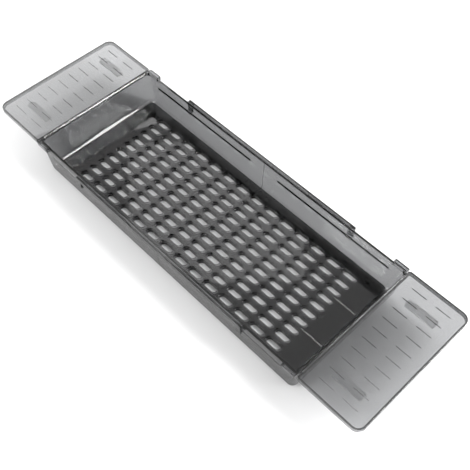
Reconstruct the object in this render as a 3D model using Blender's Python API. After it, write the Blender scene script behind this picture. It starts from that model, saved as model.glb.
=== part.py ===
"""Extending bath caddy: two half trays with wings slide along two side rails.
A slotted drain plate in one piece lies on the floors of both half trays.

Metres, +Z up. X runs along the caddy, the front is -Y. The origin lies on the
surface that the feet stand on, in the middle of the closed caddy.
"""

import math

import bmesh
import bpy

# Clearances
SEAM_GAP = 0.0003  # between the two half trays
RUNNING_GAP = 0.0003  # rail lip over the lowered wall top
RAIL_WALL_GAP = 0.0008  # rail web to the long wall
GUIDE_GAP = 0.0004  # above and below a hook in its guide slot
BARB_GAP = 0.0004  # barb to the inside of the wall
SEAT_GAP = 0.0003  # pad to the underside of the wing
PLATE_GAP = 0.0003  # drain plate over the floors of the half trays
PLATE_SIDE_GAP = 0.0005  # drain plate to the foot of the floor fillet
PLATE_END_PLAY = 0.0023  # the same at each end, with the plate in the middle
OVERRUN = 0.0010  # how far a cut runs past its piece, and a joined shape into it

# Basin of a half tray, outside sizes at the rim
RIM_HEIGHT = 0.0528
BASIN_HALF_WIDTH = 0.0912
BASIN_LENGTH = 0.2278  # from the middle of the caddy
WALL = 0.0028
SIDE_LEAN = 0.0029  # how far a long wall leans in from rim to floor
END_LEAN = 0.0075
FLOOR_THICKNESS = 0.0030
FOOT_HEIGHT = 0.0020
FOOT_DIAMETER = 0.0080
FOOT_SEAM_INSET = 0.0180
FOOT_END_INSET = 0.0280  # from the edge of the flat underside to the middle of a foot
MIDDLE_FOOT_END_INSET = 0.0335
FOOT_SIDE_INSET = 0.0068
INNER_CORNER_RADIUS = 0.0055
FLOOR_FILLET = 0.0020  # inside, between floor and walls
MOST_FILLET_SHARE = 0.9  # of the corner radius that the floor fillet runs round
BEND_RADIUS = 0.0024  # where the end wall turns over into the wing

# Drain slots
SLOT_LENGTH = 0.0210
SLOT_WIDTH = 0.0082
SLOT_BRIDGE_X = 0.00504  # floor left between two slots in a row
SLOT_BRIDGE_Y = 0.0062  # floor left between two rows
PLAIN_FLOOR_END = 0.032  # least floor without slots before the end wall
PLAIN_FLOOR_SIDE = 0.012

# Drain plate, with the same slots as the floors
PLATE_THICKNESS = 0.0030
PLATE_SHIFT = -0.0018  # where it lies in the photo, within its play
PLATE_CORNER_RADIUS = 0.0045
RIB_WIDTH = 0.0012
RIB_HEIGHT = 0.0005
RIB_LENGTH = 0.0340
RIB_END_INSET = 0.0014  # from the end of the plate

# Wing
WING_REACH = 0.0855  # from its inner edge to its outer edge
WING_OVERHANG = 0.0023  # past the long wall, on each side
WING_THICKNESS = 0.0027
WING_LIP_HEIGHT = 0.0060
WING_LIP_THICKNESS = 0.0020
WING_OUTER_RADIUS = 0.0110
WING_INNER_RADIUS = 0.0030
WING_EDGE_CHAMFER = 0.0006
DASH_LENGTH = 0.0200
DASH_WIDTH = 0.0010
DASH_DEPTH = 0.0005
DASH_SPACE_X = 0.0126  # between the two columns of dashes
DASH_SPACE_Y = 0.01605
DASH_MARGIN = 0.0080

# Side rails and what guides them
RAIL_END_INSET = 0.0579  # from the outer end of the guide slot to the end of the rail
RAIL_WEB = 0.0030
RAIL_HEIGHT = 0.0060
RAIL_LIP = 0.0015
RAIL_LIP_REACH = 0.0016  # inwards past the outside of the wall
HOOK_LENGTH = 0.0080
HOOK_THICKNESS = 0.0012
BARB_THICKNESS = 0.0011
BARB_RISE = 0.0014
GUIDE_DROP = 0.0157  # from the rim to the middle of the guide slot
GUIDE_START = 0.0240
GUIDE_END_INSET = 0.0025  # from the guide slot to the tab
TAB_LENGTH = 0.0195
TAB_NOTCH = 0.0015  # between the tab and the wing
TAB_WALL = 0.0014  # the tab is a cap, open below

# Anti-slip pads
PAD_LENGTH = 0.0400
PAD_WIDTH = 0.0100
PAD_CORNER_RADIUS = 0.0020
PAD_PROTRUSION = 0.0005  # below the wing's lip
PAD_SIDE_INSET = 0.0335  # from the wing's side edge to the middle of the pad

# Facets of the rounded shapes
CORNER_STEPS = 4
FILLET_STEPS = 3
BEND_STEPS = 3
SLOT_END_STEPS = 4
FOOT_SIDES = 12
SMOOTH_ANGLE = math.radians(30)
QUARTER_TURN = math.pi / 2

# Worked out from the sizes above
FLOOR_TOP = FOOT_HEIGHT + FLOOR_THICKNESS
PLATE_BOTTOM = FLOOR_TOP + PLATE_GAP
PLATE_TOP = PLATE_BOTTOM + PLATE_THICKNESS
OUTER_FILLET = FLOOR_FILLET + WALL
BASIN_DEPTH = RIM_HEIGHT - FLOOR_TOP
WING_START = BASIN_LENGTH - WALL / 2
WING_END = WING_START + WING_REACH
WING_MIDDLE = WING_START + WING_REACH / 2
WING_HALF_WIDTH = BASIN_HALF_WIDTH + WING_OVERHANG
TAB_END = WING_START - TAB_NOTCH
TAB_START = TAB_END - TAB_LENGTH
GUIDE_END = TAB_START - GUIDE_END_INSET
RAIL_HALF_LENGTH = GUIDE_END - RAIL_END_INSET
RAIL_INNER_FACE = BASIN_HALF_WIDTH + RAIL_WALL_GAP
RAIL_OUTER_FACE = RAIL_INNER_FACE + RAIL_WEB
RAIL_BOTTOM = RIM_HEIGHT - RAIL_HEIGHT
HOOK_BOTTOM = RIM_HEIGHT - GUIDE_DROP - HOOK_THICKNESS / 2
HOOK_TOP = HOOK_BOTTOM + HOOK_THICKNESS
WALL_TOP_DROP = RAIL_LIP + RUNNING_GAP
SLOT_PITCH_X = SLOT_LENGTH + SLOT_BRIDGE_X
SLOT_PITCH_Y = SLOT_WIDTH + SLOT_BRIDGE_Y
DASH_PITCH_X = DASH_LENGTH + DASH_SPACE_X
DASH_PITCH_Y = DASH_WIDTH + DASH_SPACE_Y

# Finishes
SMOKE = (0.075, 0.075, 0.08, 1)
SMOKE_ROUGHNESS = 0.15
RUBBER = (0.32, 0.32, 0.32, 1)
RUBBER_ROUGHNESS = 0.8


def clear_scene():
    for thing in list(bpy.data.objects):
        bpy.data.objects.remove(thing, do_unlink=True)


def plain_material(name, colour, roughness):
    material = bpy.data.materials.new(name)
    material.use_nodes = True
    shader = material.node_tree.nodes["Principled BSDF"]
    shader.inputs["Base Color"].default_value = colour
    shader.inputs["Roughness"].default_value = roughness
    shader.inputs["Metallic"].default_value = 0
    material.diffuse_color = colour
    return material


# Outlines

def arc(centre_x, centre_y, radius, start, steps):
    """A quarter circle, counter-clockwise from the angle start."""
    angles = [start + QUARTER_TURN * step / steps for step in range(steps + 1)]
    return [(centre_x + radius * math.cos(a), centre_y + radius * math.sin(a)) for a in angles]


def rounded_rectangle(left, right, half_width, left_radius, right_radius):
    left_centre = left + left_radius
    right_centre = right - right_radius
    front_left = arc(left_centre, left_radius - half_width, left_radius, 2 * QUARTER_TURN, CORNER_STEPS)
    front_right = arc(right_centre, right_radius - half_width, right_radius, -QUARTER_TURN, CORNER_STEPS)
    back_right = arc(right_centre, half_width - right_radius, right_radius, 0, CORNER_STEPS)
    back_left = arc(left_centre, half_width - left_radius, left_radius, QUARTER_TURN, CORNER_STEPS)
    return front_left + front_right + back_right + back_left


def open_ended_outline(start, end, half_width, radius):
    """Plan of half a basin: square at the seam, rounded at the end wall."""
    front = arc(end - radius, radius - half_width, radius, -QUARTER_TURN, CORNER_STEPS)
    back = arc(end - radius, half_width - radius, radius, 0, CORNER_STEPS)
    return [(start, -half_width)] + front + back + [(start, half_width)]


def stadium(centre_x, centre_y, length, width):
    radius = width / 2
    straight = length / 2 - radius
    points = []
    for end in (1, -1):
        for step in range(SLOT_END_STEPS + 1):
            angle = 2 * QUARTER_TURN * step / SLOT_END_STEPS - end * QUARTER_TURN
            x = centre_x + end * straight + radius * math.cos(angle)
            points.append((x, centre_y + radius * math.sin(angle)))
    return points


def side_face(height):
    """Half width of the outside of the long walls at a height."""
    return BASIN_HALF_WIDTH - SIDE_LEAN * (RIM_HEIGHT - height) / BASIN_DEPTH


def end_face(height):
    """Distance of the outside of the end wall at a height."""
    return BASIN_LENGTH - END_LEAN * (RIM_HEIGHT - height) / BASIN_DEPTH


# Solids

def add_loft(shape, rings):
    """Closes a stack of rings, each a list of points (x, y, z), into one body."""
    layers = [[shape.verts.new(point) for point in ring] for ring in rings]
    for low, high in zip(layers, layers[1:]):
        for i in range(len(low)):
            j = (i + 1) % len(low)
            shape.faces.new((low[i], low[j], high[j], high[i]))
    shape.faces.new(reversed(layers[0]))
    shape.faces.new(layers[-1])


def add_prism(shape, outline, bottom, top):
    """An outline in X and Y between two heights."""
    add_loft(shape, [[(x, y, height) for x, y in outline] for height in (bottom, top)])


def add_box(shape, x_range, y_range, z_range):
    corners = [(x_range[i], y_range[j]) for i, j in ((0, 0), (1, 0), (1, 1), (0, 1))]
    add_prism(shape, corners, z_range[0], z_range[1])


def add_bar(shape, profile, start, end):
    """A profile in Y and Z between two places along X."""
    add_loft(shape, [[(x, y, z) for y, z in profile] for x in (start, end)])


def mesh_object(name, shape, x_side=1, y_side=1):
    """Turns a bmesh into an object, mirrored to the wanted sides."""
    for vertex in shape.verts:
        vertex.co.x *= x_side
        vertex.co.y *= y_side
    bmesh.ops.recalc_face_normals(shape, faces=shape.faces)
    mesh = bpy.data.meshes.new(name)
    shape.to_mesh(mesh)
    shape.free()
    made = bpy.data.objects.new(name, mesh)
    bpy.context.scene.collection.objects.link(made)
    return made


def helper(name, shape, x_side=1, y_side=1):
    made = mesh_object(name, shape, x_side, y_side)
    made.hide_render = True
    made.display_type = "WIRE"
    return made


def combine(target, operation, operand):
    modifier = target.modifiers.new(operand.name, "BOOLEAN")
    modifier.operation = operation
    modifier.object = operand


def finish_piece(piece, colour, roughness):
    piece.data.materials.append(plain_material(piece.name + "_material", colour, roughness))
    piece.data.shade_smooth()
    piece.data.set_sharp_from_angle(angle=SMOOTH_ANGLE)


# Half trays

def basin_ring(height, inset, corner, start, floor_inset, end_flare):
    radius = corner - floor_inset
    half_width = side_face(height) - inset - floor_inset
    end = end_face(height) - inset - floor_inset + end_flare
    return [(x, y, height) for x, y in open_ended_outline(start, end, half_width, radius)]


def basin_rings(bottom, inset, corner, fillet, start, bend, top):
    """Floor fillet, straight walls and, with a bend, an end wall that flares into the wing."""
    fillet = min(fillet, MOST_FILLET_SHARE * corner)
    rings = []
    for step in range(FILLET_STEPS + 1):
        angle = QUARTER_TURN * step / FILLET_STEPS
        height = bottom + fillet * (1 - math.cos(angle))
        rings.append(basin_ring(height, inset, corner, start, fillet * (1 - math.sin(angle)), 0))
    if bend:
        for step in range(BEND_STEPS + 1):
            angle = QUARTER_TURN * step / BEND_STEPS
            height = RIM_HEIGHT - bend * (1 - math.sin(angle))
            rings.append(basin_ring(height, inset, corner, start, 0, bend * (1 - math.cos(angle))))
    rings.append(basin_ring(top, inset, corner, start, 0, bend))
    return rings


def basin_block():
    shape = bmesh.new()
    corner = INNER_CORNER_RADIUS + WALL
    add_loft(shape, basin_rings(FOOT_HEIGHT, 0, corner, OUTER_FILLET, SEAM_GAP / 2, 0, RIM_HEIGHT))
    return shape


def basin_hollow():
    shape = bmesh.new()
    corner = INNER_CORNER_RADIUS
    top = RIM_HEIGHT + OVERRUN
    add_loft(shape, basin_rings(FLOOR_TOP, WALL, corner, FLOOR_FILLET, -OVERRUN, BEND_RADIUS, top))
    return shape


def wing_outline(inset):
    left_radius = max(WING_INNER_RADIUS - inset, WING_EDGE_CHAMFER)
    return rounded_rectangle(
        WING_START + inset,
        WING_END - inset,
        WING_HALF_WIDTH - inset,
        left_radius,
        WING_OUTER_RADIUS - inset,
    )


def wing_block():
    shape = bmesh.new()
    lip_bottom = RIM_HEIGHT - WING_LIP_HEIGHT
    rings = [
        [(x, y, lip_bottom) for x, y in wing_outline(0)],
        [(x, y, RIM_HEIGHT - WING_EDGE_CHAMFER) for x, y in wing_outline(0)],
        [(x, y, RIM_HEIGHT) for x, y in wing_outline(WING_EDGE_CHAMFER)],
    ]
    add_loft(shape, rings)
    return shape


def wing_hollow():
    shape = bmesh.new()
    bottom = RIM_HEIGHT - WING_LIP_HEIGHT - OVERRUN
    add_prism(shape, wing_outline(WING_LIP_THICKNESS), bottom, RIM_HEIGHT - WING_THICKNESS)
    return shape


def tabs_and_feet():
    shape = bmesh.new()
    for y_side in (-1, 1):
        inner = BASIN_HALF_WIDTH - WALL - OVERRUN
        y_range = sorted((y_side * inner, y_side * RAIL_OUTER_FACE))
        add_box(shape, (TAB_START, TAB_END), y_range, (RAIL_BOTTOM, RIM_HEIGHT))
    for x, y in foot_places():
        angles = [4 * QUARTER_TURN * side / FOOT_SIDES for side in range(FOOT_SIDES)]
        radius = FOOT_DIAMETER / 2
        outline = [(x + radius * math.cos(a), y + radius * math.sin(a)) for a in angles]
        add_prism(shape, outline, 0, FOOT_HEIGHT + FLOOR_THICKNESS / 2)
    return shape


def foot_places():
    """Two feet by the seam, two by the end wall and one in the middle of the end."""
    side = side_face(FOOT_HEIGHT) - OUTER_FILLET - FOOT_SIDE_INSET
    flat_end = end_face(FOOT_HEIGHT) - OUTER_FILLET
    places = [(x, y) for x in (FOOT_SEAM_INSET, flat_end - FOOT_END_INSET) for y in (-side, side)]
    return places + [(flat_end - MIDDLE_FOOT_END_INSET, 0)]


def slot_places():
    floor_end = end_face(FLOOR_TOP) - WALL - PLAIN_FLOOR_END
    floor_side = side_face(FLOOR_TOP) - WALL - PLAIN_FLOOR_SIDE
    columns = int(floor_end / SLOT_PITCH_X)
    rows = int(2 * floor_side / SLOT_PITCH_Y)
    for column in range(columns):
        for row in range(rows):
            yield (column + 0.5) * SLOT_PITCH_X, (row - (rows - 1) / 2) * SLOT_PITCH_Y


def slots_guides_and_dashes():
    shape = bmesh.new()
    for x, y in slot_places():
        add_prism(shape, stadium(x, y, SLOT_LENGTH, SLOT_WIDTH), FOOT_HEIGHT - OVERRUN, FLOOR_TOP + OVERRUN)
    guide_bottom = HOOK_BOTTOM - GUIDE_GAP
    inner = side_face(guide_bottom) - WALL - OVERRUN
    for y_side in (-1, 1):
        y_range = sorted((y_side * inner, y_side * (BASIN_HALF_WIDTH + OVERRUN)))
        add_box(shape, (GUIDE_START, GUIDE_END), y_range, (guide_bottom, HOOK_TOP + GUIDE_GAP))
        add_box(shape, (-OVERRUN, TAB_START), y_range, (RIM_HEIGHT - WALL_TOP_DROP, RIM_HEIGHT + OVERRUN))
        y_range = sorted((y_side * BASIN_HALF_WIDTH, y_side * (RAIL_OUTER_FACE - TAB_WALL)))
        z_range = (RAIL_BOTTOM - OVERRUN, RIM_HEIGHT - TAB_WALL)
        add_box(shape, (TAB_START + TAB_WALL, TAB_END - TAB_WALL), y_range, z_range)
    for x, y in dash_places():
        x_range = (x - DASH_LENGTH / 2, x + DASH_LENGTH / 2)
        y_range = (y - DASH_WIDTH / 2, y + DASH_WIDTH / 2)
        add_box(shape, x_range, y_range, (RIM_HEIGHT - DASH_DEPTH, RIM_HEIGHT + OVERRUN))
    return shape


def dash_places():
    columns = int((WING_REACH - 2 * DASH_MARGIN) / DASH_PITCH_X)
    rows = int(2 * WING_HALF_WIDTH / DASH_PITCH_Y)
    for column in range(columns):
        for row in range(rows):
            x = WING_MIDDLE + (column - (columns - 1) / 2) * DASH_PITCH_X
            yield x, (row - (rows - 1) / 2) * DASH_PITCH_Y


def half_tray(name, x_side):
    tray = mesh_object(name, basin_block(), x_side)
    wing = helper(name + "_wing", wing_block(), x_side)
    combine(wing, "DIFFERENCE", helper(name + "_wing_hollow", wing_hollow(), x_side))
    combine(tray, "UNION", wing)
    combine(tray, "UNION", helper(name + "_tabs_and_feet", tabs_and_feet(), x_side))
    combine(tray, "DIFFERENCE", helper(name + "_hollow", basin_hollow(), x_side))
    combine(tray, "DIFFERENCE", helper(name + "_cuts", slots_guides_and_dashes(), x_side))
    finish_piece(tray, SMOKE, SMOKE_ROUGHNESS)
    return tray


# Drain plate

def plate_block():
    half_length = end_face(FLOOR_TOP) - WALL - FLOOR_FILLET - PLATE_END_PLAY
    half_width = side_face(FLOOR_TOP) - WALL - FLOOR_FILLET - PLATE_SIDE_GAP
    outline = rounded_rectangle(
        PLATE_SHIFT - half_length,
        PLATE_SHIFT + half_length,
        half_width,
        PLATE_CORNER_RADIUS,
        PLATE_CORNER_RADIUS,
    )
    shape = bmesh.new()
    add_prism(shape, outline, PLATE_BOTTOM, PLATE_TOP)
    return shape, half_length


def plate_ribs(half_length):
    """Two low ribs on the plain floor at each end, between the rows of slots."""
    shape = bmesh.new()
    rib_end = half_length - RIB_END_INSET
    for x_side in (-1, 1):
        places = sorted((PLATE_SHIFT + x_side * (rib_end - RIB_LENGTH), PLATE_SHIFT + x_side * rib_end))
        for y_side in (-1, 1):
            middle = y_side * 2 * SLOT_PITCH_Y
            y_range = (middle - RIB_WIDTH / 2, middle + RIB_WIDTH / 2)
            add_box(shape, places, y_range, (PLATE_TOP - PLATE_THICKNESS / 2, PLATE_TOP + RIB_HEIGHT))
    return shape


def plate_slots():
    shape = bmesh.new()
    for x, y in slot_places():
        for x_side in (-1, 1):
            outline = stadium(PLATE_SHIFT + x_side * x, y, SLOT_LENGTH, SLOT_WIDTH)
            add_prism(shape, outline, PLATE_BOTTOM - OVERRUN, PLATE_TOP + OVERRUN)
    return shape


def drain_plate(name):
    block, half_length = plate_block()
    plate = mesh_object(name, block)
    combine(plate, "UNION", helper(name + "_ribs", plate_ribs(half_length)))
    combine(plate, "DIFFERENCE", helper(name + "_slots", plate_slots()))
    finish_piece(plate, SMOKE, SMOKE_ROUGHNESS)


# Side rails

def rail_bar():
    """Web outside the wall, with a lip over the wall top."""
    lip_edge = BASIN_HALF_WIDTH - RAIL_LIP_REACH
    lip_bottom = RIM_HEIGHT - RAIL_LIP
    profile = [
        (RAIL_OUTER_FACE, RAIL_BOTTOM),
        (RAIL_OUTER_FACE, RIM_HEIGHT),
        (lip_edge, RIM_HEIGHT),
        (lip_edge, lip_bottom),
        (RAIL_INNER_FACE, lip_bottom),
        (RAIL_INNER_FACE, RAIL_BOTTOM),
    ]
    shape = bmesh.new()
    add_bar(shape, profile, -RAIL_HALF_LENGTH, RAIL_HALF_LENGTH)
    return shape


def rail_hooks():
    """An arm down from the web with a shelf through the guide slot and a barb, at each end."""
    barb_outer = side_face(HOOK_BOTTOM) - WALL - BARB_GAP
    barb_inner = barb_outer - BARB_THICKNESS
    rooted = RAIL_INNER_FACE + RAIL_WEB / 2
    profile = [
        (barb_inner, HOOK_BOTTOM),
        (RAIL_OUTER_FACE, HOOK_BOTTOM),
        (RAIL_OUTER_FACE, RAIL_BOTTOM),
        (rooted, RAIL_BOTTOM + OVERRUN),
        (RAIL_INNER_FACE, RAIL_BOTTOM),
        (RAIL_INNER_FACE, HOOK_TOP),
        (barb_outer, HOOK_TOP),
        (barb_outer, HOOK_TOP + BARB_RISE),
        (barb_inner, HOOK_TOP + BARB_RISE / 2),
    ]
    shape = bmesh.new()
    for end in (-1, 1):
        places = sorted((end * (RAIL_HALF_LENGTH - HOOK_LENGTH), end * RAIL_HALF_LENGTH))
        add_bar(shape, profile, places[0], places[1])
    return shape


def side_rail(name, y_side):
    rail = mesh_object(name, rail_bar(), 1, y_side)
    combine(rail, "UNION", helper(name + "_hooks", rail_hooks(), 1, y_side))
    finish_piece(rail, SMOKE, SMOKE_ROUGHNESS)


# Anti-slip pads

def wing_pad(name, tray, x_side, y_side):
    top = RIM_HEIGHT - WING_THICKNESS - SEAT_GAP
    bottom = RIM_HEIGHT - WING_LIP_HEIGHT - PAD_PROTRUSION
    outline = rounded_rectangle(
        -PAD_LENGTH / 2, PAD_LENGTH / 2, PAD_WIDTH / 2, PAD_CORNER_RADIUS, PAD_CORNER_RADIUS
    )
    shape = bmesh.new()
    add_prism(shape, outline, 0, top - bottom)
    pad = mesh_object(name, shape)
    pad.parent = tray
    pad.location = (x_side * WING_MIDDLE, y_side * (WING_HALF_WIDTH - PAD_SIDE_INSET), bottom)
    finish_piece(pad, RUBBER, RUBBER_ROUGHNESS)


def main():
    clear_scene()
    for x_name, x_side in (("left", -1), ("right", 1)):
        tray = half_tray(x_name + "_half_tray", x_side)
        for y_name, y_side in (("front", -1), ("back", 1)):
            wing_pad(f"{x_name}_{y_name}_pad", tray, x_side, y_side)
    drain_plate("drain_plate")
    side_rail("front_rail", -1)
    side_rail("back_rail", 1)


main()
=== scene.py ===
"""Extending bath caddy in smoke-grey clear plastic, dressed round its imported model.

Two half trays with wings, a slotted drain plate, two side rails and four pads are built as
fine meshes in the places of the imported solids, in metres, +Z up, with X along the caddy and
the front at -Y.
"""

import math

import bmesh
import bpy
from mathutils import Euler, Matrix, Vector


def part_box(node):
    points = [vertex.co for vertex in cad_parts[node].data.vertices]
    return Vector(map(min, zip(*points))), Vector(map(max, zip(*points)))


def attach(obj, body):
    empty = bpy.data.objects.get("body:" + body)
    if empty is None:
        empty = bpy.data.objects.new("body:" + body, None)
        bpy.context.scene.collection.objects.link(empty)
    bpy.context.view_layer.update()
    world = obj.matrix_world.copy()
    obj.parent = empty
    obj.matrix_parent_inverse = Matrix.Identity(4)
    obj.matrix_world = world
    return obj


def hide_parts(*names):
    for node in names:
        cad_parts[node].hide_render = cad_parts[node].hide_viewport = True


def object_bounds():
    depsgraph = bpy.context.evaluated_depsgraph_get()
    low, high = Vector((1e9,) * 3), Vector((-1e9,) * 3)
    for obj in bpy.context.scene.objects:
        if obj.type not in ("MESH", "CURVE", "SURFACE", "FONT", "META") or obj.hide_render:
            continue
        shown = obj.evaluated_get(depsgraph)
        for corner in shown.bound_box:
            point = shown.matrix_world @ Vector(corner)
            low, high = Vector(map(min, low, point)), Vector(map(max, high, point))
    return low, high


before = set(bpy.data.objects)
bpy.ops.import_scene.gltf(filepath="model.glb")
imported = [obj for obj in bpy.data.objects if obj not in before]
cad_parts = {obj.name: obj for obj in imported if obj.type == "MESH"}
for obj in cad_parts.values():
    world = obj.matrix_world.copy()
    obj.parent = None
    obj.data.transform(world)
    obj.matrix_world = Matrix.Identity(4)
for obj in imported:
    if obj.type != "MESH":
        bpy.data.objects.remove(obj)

bl_info = {
    "name": "Bath Caddy Builder",
    "version": (1, 0, 0),
    "blender": (4, 5, 0),
    "location": "View3D > Sidebar > Caddy",
    "description": "Builds an extending bath caddy in clear smoke plastic with a studio round it",
    "category": "Object",
}

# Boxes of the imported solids
CAD_LOW, CAD_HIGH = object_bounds()
TRAY_LOW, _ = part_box("right_half_tray")
PLATE_LOW, PLATE_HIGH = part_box("drain_plate")
RAIL_LOW, RAIL_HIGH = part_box("back_rail")

# The sides of the caddy along X and along Y
BODY_SIDES = (("left", -1), ("right", 1))
DEPTH_SIDES = (("front", -1), ("back", 1))

# Steps of the round shapes, each for a quarter turn
QUARTER_TURN = math.pi / 2
CORNER_STEPS = 8
FILLET_STEPS = 12
BEND_STEPS = 7
SLOT_STEPS = 5
EDGE_STEPS = 3
FOOT_SIDES = 24  # round the whole foot

# Edges
BEVEL_ANGLE = math.radians(40)  # a blunter edge isn't rounded
SHARP_ANGLE = math.radians(35)  # a blunter edge is shaded smooth

# Radii of the rounded edges
SLOT_EASE = 0.0004
WING_EDGE = 0.0004
RAIL_EDGE = 0.0004
PAD_EDGE = 0.0007
PLATE_EDGE = 0.0006
PAD_CORNER = 0.0020  # seen from above
OUTER_FILLET = 0.0048  # between floor and walls, outside

# Places of the feet on the flat of the floor
FOOT_SEAM_INSET = 0.0180  # from the middle of the caddy
FOOT_END_INSET = 0.0280  # from the outer end
MIDDLE_FOOT_END_INSET = 0.0335  # the same for the foot halfway across
FOOT_SIDE_INSET = 0.0068  # from a long side

# Gaps and overlaps
OVERRUN = 0.0010  # how far a cut runs past its piece, and a joined shape into it
LIP_GAP = 0.0003  # between the wall top and the rail's lip
BARB_GAP = 0.0004  # between the wall and a hook's barb
PAD_GAP = 0.0003  # between a pad and the wing above it


# Properties

def length_property(label, about, default):
    return bpy.props.FloatProperty(
        name=label, description=about, default=default, unit="LENGTH", precision=5
    )


class CaddyBasinSizes(bpy.types.PropertyGroup):
    """Sizes of half a basin, outside at the rim unless said otherwise."""

    rim_height: length_property("Rim height", "From the feet to the rim", CAD_HIGH.z)
    half_width: length_property("Half width", "Middle to the outside of a long wall", 0.0912)
    length: length_property("Length", "Middle to the outside of the end wall", 0.2278)
    seam: length_property("Seam", "From the middle to the cut end of a half tray", TRAY_LOW.x)
    wall: length_property("Wall", "Thickness of the walls", 0.0028)
    side_lean: length_property("Side lean", "How far a long wall leans in towards the floor", 0.0029)
    end_lean: length_property("End lean", "How far the end wall leans in towards the floor", 0.0075)
    floor_thickness: length_property("Floor", "Thickness of the floor", 0.0030)
    foot_height: length_property("Foot height", "Height of the round feet", 0.0020)
    foot_diameter: length_property("Foot diameter", "Diameter of the round feet", 0.0080)
    corner_radius: length_property("Corner radius", "Radius of the upright inner corners", 0.0055)
    fillet: length_property("Floor fillet", "Radius between floor and long walls, inside", 0.0045)
    end_fillet: length_property("End fillet", "Radius between floor and end wall, inside", 0.0070)
    bend: length_property("Bend radius", "Where the end wall turns over into the wing", 0.0034)
    slot_length: length_property("Slot length", "Length of a drain slot", 0.0210)
    slot_width: length_property("Slot width", "Width of a drain slot", 0.0082)
    slot_pitch_x: length_property("Slot pitch along", "Between drain slots along the caddy", 0.02604)
    slot_pitch_y: length_property("Slot pitch across", "Between rows of drain slots", 0.0144)
    slot_columns: bpy.props.IntProperty(name="Slot columns", description="In each half tray", default=7)
    slot_rows: bpy.props.IntProperty(name="Slot rows", description="Across the floor", default=10)


class CaddyWingSizes(bpy.types.PropertyGroup):
    """Sizes of a wing and of the tab beside it."""

    reach: length_property("Reach", "Inner edge to outer edge", 0.0855)
    overhang: length_property("Overhang", "Past the long wall on each side", 0.0023)
    thickness: length_property("Thickness", "Thickness of the plate", 0.0021)
    lip_height: length_property("Lip height", "Height of the turned-down edge", 0.0060)
    lip_thickness: length_property("Lip thickness", "Thickness of the turned-down edge", 0.0024)
    outer_radius: length_property("Outer corner", "Radius of the outer corners", 0.0110)
    inner_radius: length_property("Inner corner", "Radius of the corners by the basin", 0.0030)
    dash_length: length_property("Dash length", "Length of a grip line", 0.0200)
    dash_width: length_property("Dash width", "Width of a grip line", 0.0007)
    dash_depth: length_property("Dash depth", "Depth of a grip line", 0.0013)
    dash_pitch_x: length_property("Dash pitch along", "Between the two columns of grip lines", 0.0326)
    dash_pitch_y: length_property("Dash pitch across", "Between rows of grip lines", 0.01705)
    dash_columns: bpy.props.IntProperty(name="Dash columns", description="On each wing", default=2)
    dash_rows: bpy.props.IntProperty(name="Dash rows", description="Across a wing", default=10)
    tab_length: length_property("Tab length", "Length of the block beside the wing", 0.0195)
    tab_notch: length_property("Tab notch", "Gap between the block and the wing", 0.0015)
    tab_wall: length_property("Tab wall", "The block is a cap of this thickness, open below", 0.0014)


class CaddyPlateSizes(bpy.types.PropertyGroup):
    """Sizes of the drain plate; its slots are those of the floor."""

    corner_radius: length_property("Corner radius", "Radius of the corners", 0.0045)
    end_gap: length_property("End gap", "How much shorter it is at each end than its solid", 0.0015)
    rib_width: length_property("Rib width", "Width of the low ribs at the plain ends", 0.0014)
    rib_height: length_property("Rib height", "Height of the ribs", 0.0005)
    rib_length: length_property("Rib length", "Length of the ribs, the end gap included", 0.0340)
    rib_inset: length_property("Rib inset", "From a rib to the end of the plate", 0.0014)


class CaddyRailSizes(bpy.types.PropertyGroup):
    """Sizes of the side rails and of the guide slots that they hook into."""

    web: length_property("Web", "Thickness of the outer strip", 0.0030)
    lip: length_property("Lip", "Thickness of the top lip", 0.0015)
    lip_reach: length_property("Lip reach", "Inwards past the outside of the wall", 0.0016)
    height: length_property("Height", "From the rim to the lower edge of the outer strip", 0.0060)
    hook_length: length_property("Hook length", "Length of a hook along the rail", 0.0080)
    hook_thickness: length_property("Hook thickness", "Height of a hook's shelf", 0.0012)
    barb_thickness: length_property("Barb thickness", "Thickness of the barb behind the wall", 0.0011)
    barb_rise: length_property("Barb rise", "Height of the barb above the shelf", 0.0014)
    guide_gap: length_property("Guide gap", "Above and below a hook in its slot", 0.0004)
    guide_start: length_property("Guide start", "From the middle to the inner end of the slot", 0.0240)
    guide_inset: length_property("Guide inset", "From the outer end of the slot to the tab", 0.0025)


class CaddyLooks(bpy.types.PropertyGroup):
    """Finish of the plastic and the rubber."""

    plastic: bpy.props.StringProperty(
        name="Plastic", description="Hue of the clear plastic, as sRGB hex", default="#F2F3F5"
    )
    rubber: bpy.props.StringProperty(
        name="Rubber", description="Colour of the pads, as sRGB hex", default="#FAFAFA"
    )
    half_depth: length_property("Half depth", "Plastic that lets half of the light through", 0.0018)


# Outlines

def arc(centre_x, centre_y, radius, start):
    """A quarter circle, counter-clockwise from the angle start."""
    angles = [start + QUARTER_TURN * step / CORNER_STEPS for step in range(CORNER_STEPS + 1)]
    return [(centre_x + radius * math.cos(a), centre_y + radius * math.sin(a)) for a in angles]


def rounded_rectangle(left, right, half_width, left_radius, right_radius):
    left_centre = left + left_radius
    right_centre = right - right_radius
    front_left = arc(left_centre, left_radius - half_width, left_radius, 2 * QUARTER_TURN)
    front_right = arc(right_centre, right_radius - half_width, right_radius, -QUARTER_TURN)
    back_right = arc(right_centre, half_width - right_radius, right_radius, 0)
    back_left = arc(left_centre, half_width - left_radius, left_radius, QUARTER_TURN)
    return front_left + front_right + back_right + back_left


def open_ended_outline(start, end, half_width, radius):
    """Plan of half a basin: square at the seam, rounded at the end wall."""
    front = arc(end - radius, radius - half_width, radius, -QUARTER_TURN)
    back = arc(end - radius, half_width - radius, radius, 0)
    return [(start, -half_width)] + front + back + [(start, half_width)]


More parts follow.
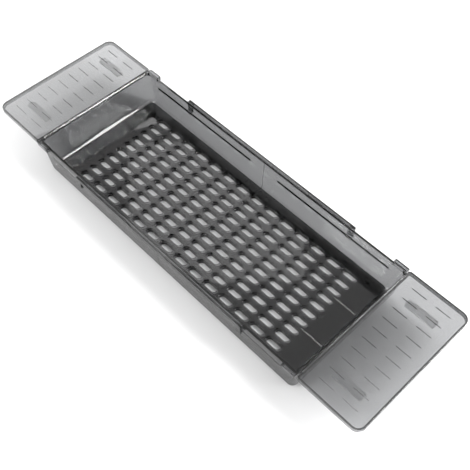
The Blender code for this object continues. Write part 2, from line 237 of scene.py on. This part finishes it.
def stadium(centre_x, centre_y, length, width):
    radius = width / 2
    straight = length / 2 - radius
    points = []
    for end in (1, -1):
        for step in range(2 * SLOT_STEPS + 1):
            angle = QUARTER_TURN * step / SLOT_STEPS - end * QUARTER_TURN
            x = centre_x + end * straight + radius * math.cos(angle)
            points.append((x, centre_y + radius * math.sin(angle)))
    return points


# Solids

def add_loft(shape, rings):
    """Closes a stack of rings, each a list of points (x, y, z), into one body."""
    layers = [[shape.verts.new(point) for point in ring] for ring in rings]
    for low, high in zip(layers, layers[1:]):
        for i in range(len(low)):
            j = (i + 1) % len(low)
            shape.faces.new((low[i], low[j], high[j], high[i]))
    shape.faces.new(reversed(layers[0]))
    shape.faces.new(layers[-1])


def add_prism(shape, outline, bottom, top):
    add_loft(shape, [[(x, y, height) for x, y in outline] for height in (bottom, top)])


def add_box(shape, x_range, y_range, z_range):
    corners = [(x_range[i], y_range[j]) for i, j in ((0, 0), (1, 0), (1, 1), (0, 1))]
    add_prism(shape, corners, z_range[0], z_range[1])


def add_bar(shape, profile, start, end):
    """A profile in Y and Z between two places along X."""
    add_loft(shape, [[(x, y, z) for y, z in profile] for x in (start, end)])


def add_slab(shape, x_range, y_range, corner, levels):
    """A slab with round corners; each level is a height and how far its outline is inset."""
    middle_y = (y_range[0] + y_range[1]) / 2
    half_width = (y_range[1] - y_range[0]) / 2
    rings = []
    for height, inset in levels:
        radius = corner - inset
        start = x_range[0] + inset
        end = x_range[1] - inset
        outline = rounded_rectangle(start, end, half_width - inset, radius, radius)
        rings.append([(x, middle_y + y, height) for x, y in outline])
    add_loft(shape, rings)


def add_slot(shape, x, y, basin, bottom, top):
    """Cutter for one drain slot, flared at the top so that it leaves an eased edge."""
    heights = (
        (bottom - OVERRUN, 0),
        (top - SLOT_EASE, 0),
        (top - SLOT_EASE / 3, SLOT_EASE / 3),
        (top, SLOT_EASE),
        (top + OVERRUN, SLOT_EASE),
    )
    rings = []
    for height, ease in heights:
        outline = stadium(x, y, basin.slot_length + 2 * ease, basin.slot_width + 2 * ease)
        rings.append([(px, py, height) for px, py in outline])
    add_loft(shape, rings)


def new_object(name, shape, x_side=1, y_side=1):
    """Turns a bmesh into an object, mirrored to the wanted sides."""
    for vertex in shape.verts:
        vertex.co.x *= x_side
        vertex.co.y *= y_side
    bmesh.ops.recalc_face_normals(shape, faces=shape.faces)
    mesh = bpy.data.meshes.new(name)
    shape.to_mesh(mesh)
    shape.free()
    made = bpy.data.objects.new(name, mesh)
    bpy.context.scene.collection.objects.link(made)
    return made


def combine(target, operation, operand):
    """Joins or cuts, bakes the result into target and removes the operand."""
    modifier = target.modifiers.new(operand.name, "BOOLEAN")
    modifier.operation = operation
    modifier.object = operand
    bake_modifiers(target)
    mesh = operand.data
    bpy.data.objects.remove(operand)
    bpy.data.meshes.remove(mesh)


def bake_modifiers(target):
    graph = bpy.context.evaluated_depsgraph_get()
    baked = bpy.data.meshes.new_from_object(target.evaluated_get(graph))
    old = target.data
    target.modifiers.clear()
    target.data = baked
    bpy.data.meshes.remove(old)


def round_edges(target, width, segments):
    bevel = target.modifiers.new("Rounded edges", "BEVEL")
    bevel.width = width
    bevel.segments = segments
    bevel.limit_method = "ANGLE"
    bevel.angle_limit = BEVEL_ANGLE
    bevel.use_clamp_overlap = True
    bake_modifiers(target)


def dress(piece, node, body, material):
    """Smooth shading that keeps flat faces flat, the material, and the piece's place in the frame."""
    piece.data.materials.clear()
    piece.data.materials.append(material)
    piece.data.shade_smooth()
    piece.data.set_sharp_from_angle(angle=SHARP_ANGLE)
    weighted = piece.modifiers.new("Flat faces stay flat", "WEIGHTED_NORMAL")
    weighted.keep_sharp = True
    bake_modifiers(piece)
    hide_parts(node)
    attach(piece, body)


# Materials

SAN_IOR = 1.57
SILICONE_IOR = 1.41
SILICONE_CLEARNESS = 0.8  # share of the light that goes through, the rest is scattered back
SILICONE_ROUGHNESS = (0.7, 0.9)
FLOW_MARK = 0.0350  # width of a wave that the plastic's flow leaves in the moulding
FLOW_MARK_HEIGHT = 0.001
FLOW_MARK_STRENGTH = 0.003
GRAIN = 0.0007  # width of a grain of the matt mould
GRAIN_HEIGHT = 0.0002
GRAIN_STRENGTH = 0.3
NOISE_DETAIL = 2


def linear(hex_colour):
    """sRGB hex to linear red, green, blue by the standard curve, and a full alpha."""
    shares = [int(hex_colour[i:i + 2], 16) / 255 for i in (1, 3, 5)]
    curve = [s / 12.92 if s <= 0.04045 else ((s + 0.055) / 1.055) ** 2.4 for s in shares]
    return (*curve, 1)


def add_node(tree, kind, settings=None, **links):
    """A node with its settings and with links, both by the names of its sockets."""
    node = tree.nodes.new(kind)
    for socket, value in (settings or {}).items():
        node.inputs[socket].default_value = value
    for socket, source in links.items():
        tree.links.new(source, node.inputs[socket])
    return node


def smoke_plastic(looks):
    """Tinted SAN or polystyrene from a polished mould: clear, glossy, darker the thicker it is."""
    material = bpy.data.materials.new("Smoke SAN, polished mould")
    material.use_nodes = True
    tree = material.node_tree
    tree.nodes.clear()
    place = add_node(tree, "ShaderNodeTexCoord")
    # Flow marks too shallow to see but in reflections
    waves = add_node(
        tree,
        "ShaderNodeTexNoise",
        {"Scale": 1 / FLOW_MARK, "Detail": NOISE_DETAIL},
        Vector=place.outputs["Object"],
    )
    ripple = add_node(
        tree,
        "ShaderNodeBump",
        {"Strength": FLOW_MARK_STRENGTH, "Distance": FLOW_MARK_HEIGHT},
        Height=waves.outputs["Fac"],
    )
    clear = add_node(
        tree,
        "ShaderNodeBsdfPrincipled",
        {
            "Base Color": linear(looks.plastic),
            "Roughness": 0,
            "IOR": SAN_IOR,
            "Transmission Weight": 1,
        },
        Normal=ripple.outputs["Normal"],
    )
    # Black takes every colour out alike
    smoke = add_node(
        tree,
        "ShaderNodeVolumeAbsorption",
        {"Color": (0, 0, 0, 1), "Density": math.log(2) / looks.half_depth},
    )
    add_node(tree, "ShaderNodeOutputMaterial", None, Surface=clear.outputs[0], Volume=smoke.outputs[0])
    return material


def pad_rubber(looks):
    """Milky silicone rubber, moulded matt: light from below passes through it, scattered."""
    material = bpy.data.materials.new("Silicone rubber, moulded matt")
    material.use_nodes = True
    tree = material.node_tree
    tree.nodes.clear()
    place = add_node(tree, "ShaderNodeTexCoord")
    grain = add_node(
        tree,
        "ShaderNodeTexNoise",
        {"Scale": 1 / GRAIN, "Detail": NOISE_DETAIL},
        Vector=place.outputs["Object"],
    )
    bumps = add_node(
        tree,
        "ShaderNodeBump",
        {"Strength": GRAIN_STRENGTH, "Distance": GRAIN_HEIGHT},
        Height=grain.outputs["Fac"],
    )
    smoothest, roughest = SILICONE_ROUGHNESS
    rough = add_node(
        tree,
        "ShaderNodeMapRange",
        {"To Min": smoothest, "To Max": roughest},
        Value=grain.outputs["Fac"],
    )
    rubber = add_node(
        tree,
        "ShaderNodeBsdfPrincipled",
        {
            "Base Color": linear(looks.rubber),
            "IOR": SILICONE_IOR,
            "Transmission Weight": SILICONE_CLEARNESS,
        },
        Normal=bumps.outputs["Normal"],
        Roughness=rough.outputs["Result"],
    )
    add_node(tree, "ShaderNodeOutputMaterial", None, Surface=rubber.outputs[0])
    return material


def caddy_material(kind):
    """The shared material of a kind, made on first use."""
    makers = {"plastic": smoke_plastic, "rubber": pad_rubber}
    found = bpy.context.scene.get("caddy_" + kind)
    if found and found in bpy.data.materials:
        return bpy.data.materials[found]
    made = makers[kind](bpy.context.scene.caddy_looks)
    bpy.context.scene["caddy_" + kind] = made.name
    return made


# Half trays

class TrayBuilder:
    """Works out the places of a half tray from its sizes and makes its moulding."""

    def __init__(self, basin, wing, rail):
        self.basin = basin
        self.wing = wing
        self.rail = rail
        self.floor_top = basin.foot_height + basin.floor_thickness
        self.depth = basin.rim_height - self.floor_top
        self.wing_start = basin.length - basin.wall / 2
        self.wing_end = self.wing_start + wing.reach
        self.wing_middle = self.wing_start + wing.reach / 2
        self.wing_half_width = basin.half_width + wing.overhang
        self.tab_end = self.wing_start - wing.tab_notch
        self.tab_start = self.tab_end - wing.tab_length
        self.guide_end = self.tab_start - rail.guide_inset
        self.guide_bottom = RAIL_LOW.z - rail.guide_gap
        self.guide_top = RAIL_LOW.z + rail.hook_thickness + rail.guide_gap

    def side_face(self, height):
        return self.basin.half_width - self.basin.side_lean * (self.basin.rim_height - height) / self.depth

    def end_face(self, height):
        return self.basin.length - self.basin.end_lean * (self.basin.rim_height - height) / self.depth

    def basin_ring(self, height, inset, corner, start, side_inset, end_inset):
        half_width = self.side_face(height) - inset - side_inset
        end = self.end_face(height) - inset - end_inset
        return [(x, y, height) for x, y in open_ended_outline(start, end, half_width, corner - side_inset)]

    def basin_rings(self, bottom, inset, corner, fillets, start, bend, top):
        """Floor fillets, straight walls and, with a bend, an end wall that flares into the wing."""
        side_fillet, end_fillet = fillets
        rings = []
        for step in range(FILLET_STEPS + 1):
            angle = QUARTER_TURN * step / FILLET_STEPS
            rise = end_fillet * (1 - math.cos(angle))
            below = max(side_fillet - rise, 0)
            side_inset = side_fillet - math.sqrt(side_fillet ** 2 - below ** 2)
            end_inset = end_fillet * (1 - math.sin(angle))
            rings.append(self.basin_ring(bottom + rise, inset, corner, start, side_inset, end_inset))
        if bend:
            for step in range(BEND_STEPS + 1):
                angle = QUARTER_TURN * step / BEND_STEPS
                height = self.basin.rim_height - bend * (1 - math.sin(angle))
                rings.append(self.basin_ring(height, inset, corner, start, 0, bend * (math.cos(angle) - 1)))
        rings.append(self.basin_ring(top, inset, corner, start, 0, -bend))
        return rings

    def block(self):
        shape = bmesh.new()
        basin = self.basin
        corner = basin.corner_radius + basin.wall
        fillets = (OUTER_FILLET, OUTER_FILLET)
        add_loft(
            shape,
            self.basin_rings(basin.foot_height, 0, corner, fillets, basin.seam, 0, basin.rim_height),
        )
        return shape

    def hollow(self):
        shape = bmesh.new()
        add_loft(
            shape,
            self.basin_rings(
                self.floor_top,
                self.basin.wall,
                self.basin.corner_radius,
                (self.basin.fillet, self.basin.end_fillet),
                -OVERRUN,
                self.basin.bend,
                self.basin.rim_height + OVERRUN,
            ),
        )
        return shape

    def wing_outline(self, inset):
        left_radius = max(self.wing.inner_radius - inset, WING_EDGE)
        return rounded_rectangle(
            self.wing_start + inset,
            self.wing_end - inset,
            self.wing_half_width - inset,
            left_radius,
            self.wing.outer_radius - inset,
        )

    def wing_block(self):
        """Plate and turned-down lip as one slab with a rounded top edge."""
        shape = bmesh.new()
        rim = self.basin.rim_height
        rings = [[(x, y, rim - self.wing.lip_height) for x, y in self.wing_outline(0)]]
        for step in range(EDGE_STEPS + 1):
            angle = QUARTER_TURN * step / EDGE_STEPS
            height = rim - WING_EDGE * (1 - math.sin(angle))
            rings.append([(x, y, height) for x, y in self.wing_outline(WING_EDGE * (1 - math.cos(angle)))])
        add_loft(shape, rings)
        return shape

    def wing_hollow(self):
        shape = bmesh.new()
        rim = self.basin.rim_height
        bottom = rim - self.wing.lip_height - OVERRUN
        add_prism(shape, self.wing_outline(self.wing.lip_thickness), bottom, rim - self.wing.thickness)
        return shape

    def tabs(self):
        shape = bmesh.new()
        for y_side in (-1, 1):
            inner = self.basin.half_width - self.basin.wall - OVERRUN
            y_range = sorted((y_side * inner, y_side * RAIL_HIGH.y))
            z_range = (self.basin.rim_height - self.rail.height, self.basin.rim_height)
            add_box(shape, (self.tab_start, self.tab_end), y_range, z_range)
        return shape

    def feet(self):
        shape = bmesh.new()
        bottom = self.basin.foot_height
        rooted = bottom + self.basin.floor_thickness / 2
        radius = self.basin.foot_diameter / 2
        for x, y in self.foot_places():
            angles = [4 * QUARTER_TURN * side / FOOT_SIDES for side in range(FOOT_SIDES)]
            outline = [(x + radius * math.cos(a), y + radius * math.sin(a)) for a in angles]
            add_prism(shape, outline, 0, rooted)
        return shape

    def foot_places(self):
        bottom = self.basin.foot_height
        side = self.side_face(bottom) - OUTER_FILLET - FOOT_SIDE_INSET
        flat_end = self.end_face(bottom) - OUTER_FILLET
        places = [(x, y) for x in (FOOT_SEAM_INSET, flat_end - FOOT_END_INSET) for y in (-side, side)]
        return places + [(flat_end - MIDDLE_FOOT_END_INSET, 0)]

    def slot_places(self):
        basin = self.basin
        for column in range(basin.slot_columns):
            for row in range(basin.slot_rows):
                x = (column + 0.5) * basin.slot_pitch_x
                yield x, (row - (basin.slot_rows - 1) / 2) * basin.slot_pitch_y

    def drain_slots(self):
        shape = bmesh.new()
        for x, y in self.slot_places():
            add_slot(shape, x, y, self.basin, self.basin.foot_height, self.floor_top)
        return shape

    def wall_cuts(self):
        """Guide slots, the wall top lowered for the rail's lip, and the hollow tabs."""
        shape = bmesh.new()
        rim = self.basin.rim_height
        inner = self.side_face(self.guide_bottom) - self.basin.wall - OVERRUN
        lowered = rim - self.rail.lip - LIP_GAP
        for y_side in (-1, 1):
            y_range = sorted((y_side * inner, y_side * (self.basin.half_width + OVERRUN)))
            guide = (self.rail.guide_start, self.guide_end)
            add_box(shape, guide, y_range, (self.guide_bottom, self.guide_top))
            add_box(shape, (-OVERRUN, self.tab_start), y_range, (lowered, rim + OVERRUN))
            wall = self.wing.tab_wall
            y_range = sorted((y_side * self.basin.half_width, y_side * (RAIL_HIGH.y - wall)))
            z_range = (rim - self.rail.height - OVERRUN, rim - wall)
            add_box(shape, (self.tab_start + wall, self.tab_end - wall), y_range, z_range)
        return shape

    def grip_lines(self):
        """Narrow grooves on the wing."""
        shape = bmesh.new()
        wing = self.wing
        rim = self.basin.rim_height
        half = wing.dash_width / 2
        for column in range(wing.dash_columns):
            for row in range(wing.dash_rows):
                x = self.wing_middle + (column - (wing.dash_columns - 1) / 2) * wing.dash_pitch_x
                y = (row - (wing.dash_rows - 1) / 2) * wing.dash_pitch_y
                x_range = (x - wing.dash_length / 2, x + wing.dash_length / 2)
                add_box(shape, x_range, (y - half, y + half), (rim - wing.dash_depth, rim + OVERRUN))
        return shape

    def moulding(self, name, x_side):
        tray = new_object(name, self.block(), x_side)
        wing = new_object(name + "_wing", self.wing_block(), x_side)
        combine(wing, "DIFFERENCE", new_object(name + "_wing_hollow", self.wing_hollow(), x_side))
        combine(tray, "UNION", wing)
        combine(tray, "UNION", new_object(name + "_tabs", self.tabs(), x_side))
        combine(tray, "UNION", new_object(name + "_feet", self.feet(), x_side))
        combine(tray, "DIFFERENCE", new_object(name + "_hollow", self.hollow(), x_side))
        combine(tray, "DIFFERENCE", new_object(name + "_cuts", self.wall_cuts(), x_side))
        combine(tray, "DIFFERENCE", new_object(name + "_slots", self.drain_slots(), x_side))
        combine(tray, "DIFFERENCE", new_object(name + "_dashes", self.grip_lines(), x_side))
        return tray


class CADDY_OT_half_trays(bpy.types.Operator):
    """Build the two half trays with their wings, tabs, feet and drain slots"""

    bl_idname = "caddy.half_trays"
    bl_label = "Half Trays"

    def execute(self, context):
        scene = context.scene
        builder = TrayBuilder(scene.caddy_basin, scene.caddy_wing, scene.caddy_rail)
        for side_name, x_side in BODY_SIDES:
            node = side_name + "_half_tray"
            tray = builder.moulding(node + "_moulding", x_side)
            if not tray.data.polygons:
                raise RuntimeError(node + " came out empty")
            dress(tray, node, side_name + "_half", caddy_material("plastic"))
        return {"FINISHED"}


# Drain plate

class CADDY_OT_drain_plate(bpy.types.Operator):
    """Build the loose slotted plate that lies on the floors of both half trays"""

    bl_idname = "caddy.drain_plate"
    bl_label = "Drain Plate"

    def execute(self, context):
        scene = context.scene
        plate = new_object("drain_plate_moulding", self.slab(scene.caddy_plate))
        combine(plate, "UNION", new_object("drain_plate_ribs", self.ribs(scene)))
        combine(plate, "DIFFERENCE", new_object("drain_plate_slots", self.slots(scene)))
        dress(plate, "drain_plate", "middle", caddy_material("plastic"))
        return {"FINISHED"}

    def slab(self, plate):
        """The plate without its slots, with rounded top and bottom edges."""
        top = PLATE_HIGH.z - plate.rib_height
        levels = []
        for turn, centre in ((-1, PLATE_LOW.z + PLATE_EDGE), (0, top - PLATE_EDGE)):
            for step in range(EDGE_STEPS + 1):
                angle = QUARTER_TURN * (step / EDGE_STEPS + turn)
                height = centre + PLATE_EDGE * math.sin(angle)
                levels.append((height, PLATE_EDGE * (1 - math.cos(angle))))
        x_range = (PLATE_LOW.x + plate.end_gap, PLATE_HIGH.x - plate.end_gap)
        y_range = (PLATE_LOW.y, PLATE_HIGH.y)
        shape = bmesh.new()
        add_slab(shape, x_range, y_range, plate.corner_radius, levels)
        return shape

    def ribs(self, scene):
        """Low ridges with two sloping faces."""
        plate = scene.caddy_plate
        shape = bmesh.new()
        top = PLATE_HIGH.z
        rooted = top - 2 * plate.rib_height
        half = plate.rib_width / 2
        margin = plate.end_gap + plate.rib_inset
        ends = (
            (PLATE_LOW.x + margin, PLATE_LOW.x + plate.rib_inset + plate.rib_length),
            (PLATE_HIGH.x - plate.rib_inset - plate.rib_length, PLATE_HIGH.x - margin),
        )
        for x_range in ends:
            for y_side in (-1, 1):
                middle = y_side * 2 * scene.caddy_basin.slot_pitch_y
                profile = [
                    (middle - half, rooted),
                    (middle + half, rooted),
                    (middle + half, top - plate.rib_height),
                    (middle, top),
                    (middle - half, top - plate.rib_height),
                ]
                add_bar(shape, profile, *x_range)
        return shape

    def slots(self, scene):
        shape = bmesh.new()
        middle = (PLATE_LOW.x + PLATE_HIGH.x) / 2
        top = PLATE_HIGH.z - scene.caddy_plate.rib_height
        builder = TrayBuilder(scene.caddy_basin, scene.caddy_wing, scene.caddy_rail)
        for x, y in builder.slot_places():
            for x_side in (-1, 1):
                add_slot(shape, middle + x_side * x, y, scene.caddy_basin, PLATE_LOW.z, top)
        return shape


# Side rails

class CADDY_OT_side_rails(bpy.types.Operator):
    """Build the two side rails with their top lips, arms and barbed hooks"""

    bl_idname = "caddy.side_rails"
    bl_label = "Side Rails"

    def execute(self, context):
        scene = context.scene
        for side_name, y_side in DEPTH_SIDES:
            node = side_name + "_rail"
            rail = new_object(node + "_moulding", self.bar(scene), 1, y_side)
            combine(rail, "UNION", new_object(node + "_hooks", self.hooks(scene), 1, y_side))
            round_edges(rail, RAIL_EDGE, EDGE_STEPS)
            dress(rail, node, "middle", caddy_material("plastic"))
        return {"FINISHED"}

    def bar(self, scene):
        rail, basin = scene.caddy_rail, scene.caddy_basin
        inner_face = RAIL_HIGH.y - rail.web
        lip_edge = basin.half_width - rail.lip_reach
        lip_bottom = RAIL_HIGH.z - rail.lip
        bottom = RAIL_HIGH.z - rail.height
        profile = [
            (RAIL_HIGH.y, bottom),
            (RAIL_HIGH.y, RAIL_HIGH.z),
            (lip_edge, RAIL_HIGH.z),
            (lip_edge, lip_bottom),
            (inner_face, lip_bottom),
            (inner_face, bottom),
        ]
        shape = bmesh.new()
        add_bar(shape, profile, RAIL_LOW.x, RAIL_HIGH.x)
        return shape

    def hooks(self, scene):
        rail, basin = scene.caddy_rail, scene.caddy_basin
        builder = TrayBuilder(basin, scene.caddy_wing, rail)
        barb_outer = builder.side_face(RAIL_LOW.z) - basin.wall - BARB_GAP
        barb_inner = barb_outer - rail.barb_thickness
        shelf = RAIL_LOW.z + rail.hook_thickness
        bottom = RAIL_HIGH.z - rail.height
        profile = [
            (barb_inner, RAIL_LOW.z),
            (RAIL_HIGH.y, RAIL_LOW.z),
            (RAIL_HIGH.y, bottom),
            (RAIL_HIGH.y - rail.web / 2, bottom + OVERRUN),
            (RAIL_HIGH.y - rail.web, bottom),
            (RAIL_HIGH.y - rail.web, shelf),
            (barb_outer, shelf),
            (barb_outer, shelf + rail.barb_rise),
            (barb_inner, shelf + rail.barb_rise / 2),
        ]
        shape = bmesh.new()
        for end in (-1, 1):
            places = sorted((end * (RAIL_HIGH.x - rail.hook_length), end * RAIL_HIGH.x))
            add_bar(shape, profile, *places)
        return shape


# Anti-slip pads

class CADDY_OT_wing_pads(bpy.types.Operator):
    """Build the four rubber pads under the wings"""

    bl_idname = "caddy.wing_pads"
    bl_label = "Wing Pads"

    def execute(self, context):
        basin, wing = context.scene.caddy_basin, context.scene.caddy_wing
        top = basin.rim_height - wing.thickness - PAD_GAP
        for side_name, _ in BODY_SIDES:
            for depth_name, _ in DEPTH_SIDES:
                node = f"{side_name}_{depth_name}_pad"
                low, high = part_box(node)
                pad = new_object(node + "_rubber", self.strip(low, high, top))
                dress(pad, node, side_name + "_half", caddy_material("rubber"))
        return {"FINISHED"}

    def strip(self, low, high, top):
        """A flat strip with round corners and a softened lower edge, up to the wing's underside."""
        levels = []
        for step in range(EDGE_STEPS + 1):
            angle = QUARTER_TURN * step / EDGE_STEPS
            height = low.z + PAD_EDGE * (1 - math.cos(angle))
            levels.append((height, PAD_EDGE * (1 - math.sin(angle))))
        levels.append((top, 0))
        shape = bmesh.new()
        add_slab(shape, (low.x, high.x), (low.y, high.y), PAD_CORNER, levels)
        return shape


# Stage

CAMERA_PLACE = Vector((0.42635, -0.37482, 0.79480))
CAMERA_TILT = math.radians(34.93)  # up from straight down
CAMERA_TURN = math.radians(45.96)  # to the left of +Y
CAMERA_LENS_MM = 59.5
SENSOR_MM = 36.0
CLIP_RANGE = (0.01, 20)
FLOOR_REACH = 3.0
FLOOR_COLOUR = "#F2F2F2"
FLOOR_ROUGHNESS = 0.9
WORLD_STRENGTH = 0.82
LIGHT_DISTANCE = 1.5  # from the middle of the caddy
# Azimuth and elevation in degrees, then width and height in metres, and watts
SOFT_BOXES = (
    ("Back right strip", 30, 33, 0.35, 1.20, 26),
    ("Back right key", 58.7, 65.9, 0.26, 0.34, 2.6),
    ("Front left strip", -105, 38, 0.35, 0.70, 5),
    ("Front left key", -110, 54, 0.24, 0.30, 3.2),
    ("Back left box", 157, 37, 0.50, 0.28, 0.9),
    ("Rim light", 146, 25, 0.34, 0.36, 3.8),
    ("Back sweep", 138, 53, 0.55, 0.45, 0.8),
)


class CADDY_OT_stage(bpy.types.Operator):
    """Set up the pale floor, the soft lights and the camera"""

    bl_idname = "caddy.stage"
    bl_label = "Stage"

    def execute(self, context):
        self.camera(context)
        self.floor(context)
        self.surroundings(context)
        self.soft_lights(context)
        context.scene.view_settings.view_transform = "Standard"
        context.scene.view_settings.look = "None"
        return {"FINISHED"}

    def camera(self, context):
        lens = bpy.data.cameras.new("Camera")
        lens.lens = CAMERA_LENS_MM
        lens.sensor_width = SENSOR_MM
        lens.clip_start, lens.clip_end = CLIP_RANGE
        camera = bpy.data.objects.new("Camera", lens)
        camera.location = CAMERA_PLACE
        camera.rotation_euler = Euler((CAMERA_TILT, 0, CAMERA_TURN))
        context.scene.collection.objects.link(camera)
        context.scene.camera = camera

    def floor(self, context):
        shape = bmesh.new()
        corners = [(-FLOOR_REACH, -FLOOR_REACH), (FLOOR_REACH, -FLOOR_REACH)]
        corners += [(FLOOR_REACH, FLOOR_REACH), (-FLOOR_REACH, FLOOR_REACH)]
        shape.faces.new([shape.verts.new((x, y, 0)) for x, y in corners])
        floor = new_object("studio_floor", shape)
        material = bpy.data.materials.new("White paper sweep")
        material.use_nodes = True
        shader = material.node_tree.nodes["Principled BSDF"]
        shader.inputs["Base Color"].default_value = linear(FLOOR_COLOUR)
        shader.inputs["Roughness"].default_value = FLOOR_ROUGHNESS
        floor.data.materials.append(material)

    def surroundings(self, context):
        world = bpy.data.worlds.new("White studio")
        world.use_nodes = True
        background = world.node_tree.nodes["Background"]
        background.inputs["Color"].default_value = (1, 1, 1, 1)
        background.inputs["Strength"].default_value = WORLD_STRENGTH
        context.scene.world = world

    def soft_lights(self, context):
        for name, azimuth, elevation, width, height, power in SOFT_BOXES:
            light = bpy.data.lights.new(name, "AREA")
            light.shape = "RECTANGLE"
            light.size = width
            light.size_y = height
            light.energy = power
            box = bpy.data.objects.new(name, light)
            turn = math.radians(azimuth)
            rise = math.radians(elevation)
            flat = math.cos(rise)
            direction = Vector((flat * math.cos(turn), flat * math.sin(turn), math.sin(rise)))
            box.location = direction * LIGHT_DISTANCE
            box.rotation_euler = direction.to_track_quat("Z", "Y").to_euler()
            context.scene.collection.objects.link(box)


# Panel and registration

class CADDY_PT_build(bpy.types.Panel):
    bl_label = "Bath Caddy"
    bl_idname = "CADDY_PT_build"
    bl_space_type = "VIEW_3D"
    bl_region_type = "UI"
    bl_category = "Caddy"

    def draw(self, context):
        column = self.layout.column()
        for operator in BUILD_ORDER:
            column.operator(operator.bl_idname)
        for name in SETTINGS:
            group = getattr(context.scene, name)
            box = column.box()
            for key in group.__annotations__:
                box.prop(group, key)


BUILD_ORDER = (
    CADDY_OT_stage,
    CADDY_OT_half_trays,
    CADDY_OT_drain_plate,
    CADDY_OT_side_rails,
    CADDY_OT_wing_pads,
)
SETTINGS = {
    "caddy_basin": CaddyBasinSizes,
    "caddy_wing": CaddyWingSizes,
    "caddy_plate": CaddyPlateSizes,
    "caddy_rail": CaddyRailSizes,
    "caddy_looks": CaddyLooks,
}


def register():
    for group in (*SETTINGS.values(), *BUILD_ORDER, CADDY_PT_build):
        bpy.utils.register_class(group)
    for name, group in SETTINGS.items():
        setattr(bpy.types.Scene, name, bpy.props.PointerProperty(type=group))


def unregister():
    for name in SETTINGS:
        delattr(bpy.types.Scene, name)
    for group in reversed((*SETTINGS.values(), *BUILD_ORDER, CADDY_PT_build)):
        bpy.utils.unregister_class(group)


def main():
    register()
    bpy.ops.caddy.stage()
    bpy.ops.caddy.half_trays()
    bpy.ops.caddy.drain_plate()
    bpy.ops.caddy.side_rails()
    bpy.ops.caddy.wing_pads()


if __name__ == "__main__":
    main()
